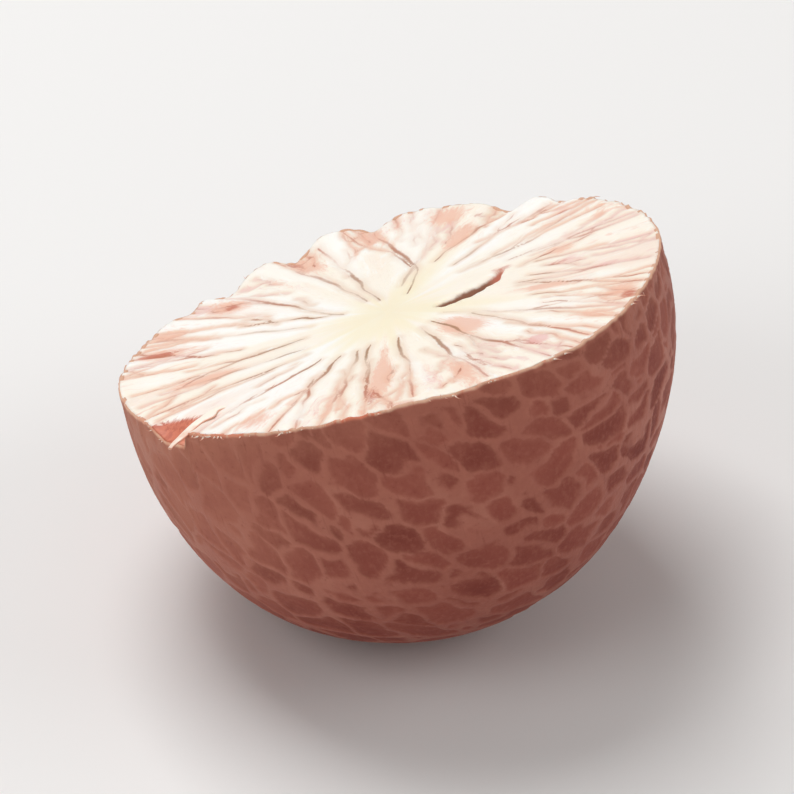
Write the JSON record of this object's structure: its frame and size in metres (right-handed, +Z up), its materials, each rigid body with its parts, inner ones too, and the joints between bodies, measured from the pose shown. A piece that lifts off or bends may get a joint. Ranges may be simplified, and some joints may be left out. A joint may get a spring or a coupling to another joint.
{
  "type": "halved dried betel nut",
  "caption": "Half of a dried betel nut, cut face up: pale kernel with radial folds, a slit near the core and a netted brown skin over its round side.",
  "frame": {"origin": "middle of the underside of the bounding box; the half stands on this level", "axes": "+Z up; the cut face looks up and leans to the back (+Y) and to the left (-X), as in the picture; the picture was taken from the -Y side"},
  "size_m": [0.0316, 0.0326, 0.0239],
  "materials": {
    "nut": "dry pale kernel with rust veins, matt brown skin"
  },
  "bodies": {
    "root": {"betel_nut_half": "nut"}
  },
  "joints": []
}
